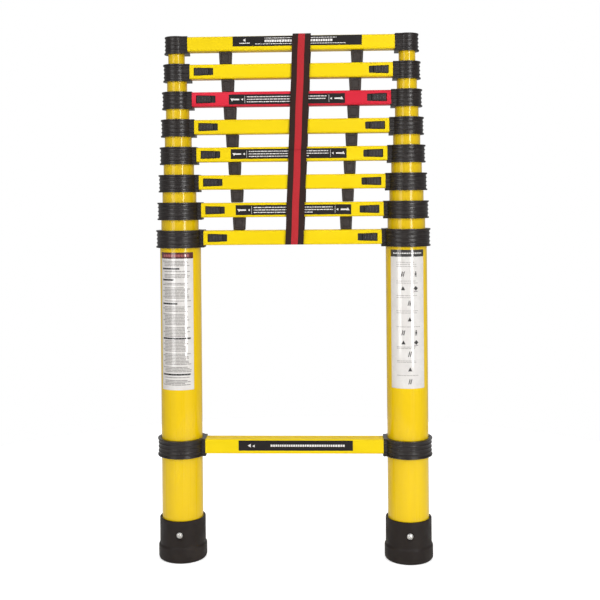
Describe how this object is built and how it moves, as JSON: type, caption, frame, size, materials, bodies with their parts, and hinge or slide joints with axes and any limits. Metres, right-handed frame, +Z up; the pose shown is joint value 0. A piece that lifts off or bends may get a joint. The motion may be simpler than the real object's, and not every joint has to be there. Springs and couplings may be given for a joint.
{
  "type": "telescoping ladder",
  "caption": "Telescoping ladder closed for carrying: nested round stiles, flat-fronted hollow rungs, collars with sliding thumb locks, rubber feet and a carrying strap.",
  "frame": {"origin": "on the floor, midway between the two feet", "axes": "+Z up along the stiles, +X to the right of someone facing the front, -Y out of the front, where the thumb grips are"},
  "size_m": [0.397, 0.07, 0.755],
  "materials": {
    "stile_yellow": "gloss",
    "rung_yellow": "satin",
    "rung_red": "satin",
    "collar_black": "satin",
    "slider_black": "satin",
    "foot_rubber": "matte",
    "strap_webbing": "matte"
  },
  "bodies": {
    "base": {"tube_1_left": "stile_yellow", "tube_1_right": "stile_yellow", "foot_left": "foot_rubber", "foot_right": "foot_rubber", "bottom_clamp_left": "collar_black", "bottom_clamp_right": "collar_black", "bottom_rung": "rung_yellow", "collar_1_left": "collar_black", "collar_1_right": "collar_black", "rung_1": "rung_yellow"},
    "section_2": {"tube_2_left": "stile_yellow", "tube_2_right": "stile_yellow", "collar_2_left": "collar_black", "collar_2_right": "collar_black", "rung_2": "rung_yellow"},
    "section_3": {"tube_3_left": "stile_yellow", "tube_3_right": "stile_yellow", "collar_3_left": "collar_black", "collar_3_right": "collar_black", "rung_3": "rung_yellow"},
    "section_4": {"tube_4_left": "stile_yellow", "tube_4_right": "stile_yellow", "collar_4_left": "collar_black", "collar_4_right": "collar_black", "rung_4": "rung_yellow"},
    "section_5": {"tube_5_left": "stile_yellow", "tube_5_right": "stile_yellow", "collar_5_left": "collar_black", "collar_5_right": "collar_black", "rung_5": "rung_yellow"},
    "section_6": {"tube_6_left": "stile_yellow", "tube_6_right": "stile_yellow", "collar_6_left": "collar_black", "collar_6_right": "collar_black", "rung_6": "rung_red"},
    "section_7": {"tube_7_left": "stile_yellow", "tube_7_right": "stile_yellow", "collar_7_left": "collar_black", "collar_7_right": "collar_black", "rung_7": "rung_yellow"},
    "section_8": {"tube_8_left": "stile_yellow", "tube_8_right": "stile_yellow", "top_cap_left": "collar_black", "top_cap_right": "collar_black", "top_rung": "rung_yellow", "carry_strap": "strap_webbing"},
    "lock_1_left": {"lock_slider_1_left": "slider_black"},
    "lock_1_right": {"lock_slider_1_right": "slider_black"},
    "lock_2_left": {"lock_slider_2_left": "slider_black"},
    "lock_2_right": {"lock_slider_2_right": "slider_black"},
    "lock_3_left": {"lock_slider_3_left": "slider_black"},
    "lock_3_right": {"lock_slider_3_right": "slider_black"},
    "lock_4_left": {"lock_slider_4_left": "slider_black"},
    "lock_4_right": {"lock_slider_4_right": "slider_black"},
    "lock_5_left": {"lock_slider_5_left": "slider_black"},
    "lock_5_right": {"lock_slider_5_right": "slider_black"},
    "lock_6_left": {"lock_slider_6_left": "slider_black"},
    "lock_6_right": {"lock_slider_6_right": "slider_black"},
    "lock_7_left": {"lock_slider_7_left": "slider_black"},
    "lock_7_right": {"lock_slider_7_right": "slider_black"}
  },
  "joints": [
    {"name": "section_2_slide", "type": "slide", "parent": "base", "child": "section_2", "axis": [0, 0, 1], "range_m": [0, 0.2601]},
    {"name": "section_3_slide", "type": "slide", "parent": "section_2", "child": "section_3", "axis": [0, 0, 1], "range_m": [0, 0.2601]},
    {"name": "section_4_slide", "type": "slide", "parent": "section_3", "child": "section_4", "axis": [0, 0, 1], "range_m": [0, 0.2601]},
    {"name": "section_5_slide", "type": "slide", "parent": "section_4", "child": "section_5", "axis": [0, 0, 1], "range_m": [0, 0.2601]},
    {"name": "section_6_slide", "type": "slide", "parent": "section_5", "child": "section_6", "axis": [0, 0, 1], "range_m": [0, 0.2601]},
    {"name": "section_7_slide", "type": "slide", "parent": "section_6", "child": "section_7", "axis": [0, 0, 1], "range_m": [0, 0.2601]},
    {"name": "section_8_slide", "type": "slide", "parent": "section_7", "child": "section_8", "axis": [0, 0, 1], "range_m": [0, 0.2601]},
    {"name": "lock_1_left_slide", "type": "slide", "parent": "base", "child": "lock_1_left", "axis": [1, 0, 0], "range_m": [0, 0.007], "stiffness_N_per_m": 400, "springref_m": -0.012},
    {"name": "lock_1_right_slide", "type": "slide", "parent": "base", "child": "lock_1_right", "axis": [-1, 0, 0], "range_m": [0, 0.007], "stiffness_N_per_m": 400, "springref_m": -0.012},
    {"name": "lock_2_left_slide", "type": "slide", "parent": "section_2", "child": "lock_2_left", "axis": [1, 0, 0], "range_m": [0, 0.007], "stiffness_N_per_m": 400, "springref_m": -0.012},
    {"name": "lock_2_right_slide", "type": "slide", "parent": "section_2", "child": "lock_2_right", "axis": [-1, 0, 0], "range_m": [0, 0.007], "stiffness_N_per_m": 400, "springref_m": -0.012},
    {"name": "lock_3_left_slide", "type": "slide", "parent": "section_3", "child": "lock_3_left", "axis": [1, 0, 0], "range_m": [0, 0.007], "stiffness_N_per_m": 400, "springref_m": -0.012},
    {"name": "lock_3_right_slide", "type": "slide", "parent": "section_3", "child": "lock_3_right", "axis": [-1, 0, 0], "range_m": [0, 0.007], "stiffness_N_per_m": 400, "springref_m": -0.012},
    {"name": "lock_4_left_slide", "type": "slide", "parent": "section_4", "child": "lock_4_left", "axis": [1, 0, 0], "range_m": [0, 0.007], "stiffness_N_per_m": 400, "springref_m": -0.012},
    {"name": "lock_4_right_slide", "type": "slide", "parent": "section_4", "child": "lock_4_right", "axis": [-1, 0, 0], "range_m": [0, 0.007], "stiffness_N_per_m": 400, "springref_m": -0.012},
    {"name": "lock_5_left_slide", "type": "slide", "parent": "section_5", "child": "lock_5_left", "axis": [1, 0, 0], "range_m": [0, 0.007], "stiffness_N_per_m": 400, "springref_m": -0.012},
    {"name": "lock_5_right_slide", "type": "slide", "parent": "section_5", "child": "lock_5_right", "axis": [-1, 0, 0], "range_m": [0, 0.007], "stiffness_N_per_m": 400, "springref_m": -0.012},
    {"name": "lock_6_left_slide", "type": "slide", "parent": "section_6", "child": "lock_6_left", "axis": [1, 0, 0], "range_m": [0, 0.007], "stiffness_N_per_m": 400, "springref_m": -0.012},
    {"name": "lock_6_right_slide", "type": "slide", "parent": "section_6", "child": "lock_6_right", "axis": [-1, 0, 0], "range_m": [0, 0.007], "stiffness_N_per_m": 400, "springref_m": -0.012},
    {"name": "lock_7_left_slide", "type": "slide", "parent": "section_7", "child": "lock_7_left", "axis": [1, 0, 0], "range_m": [0, 0.007], "stiffness_N_per_m": 400, "springref_m": -0.012},
    {"name": "lock_7_right_slide", "type": "slide", "parent": "section_7", "child": "lock_7_right", "axis": [-1, 0, 0], "range_m": [0, 0.007], "stiffness_N_per_m": 400, "springref_m": -0.012}
  ]
}
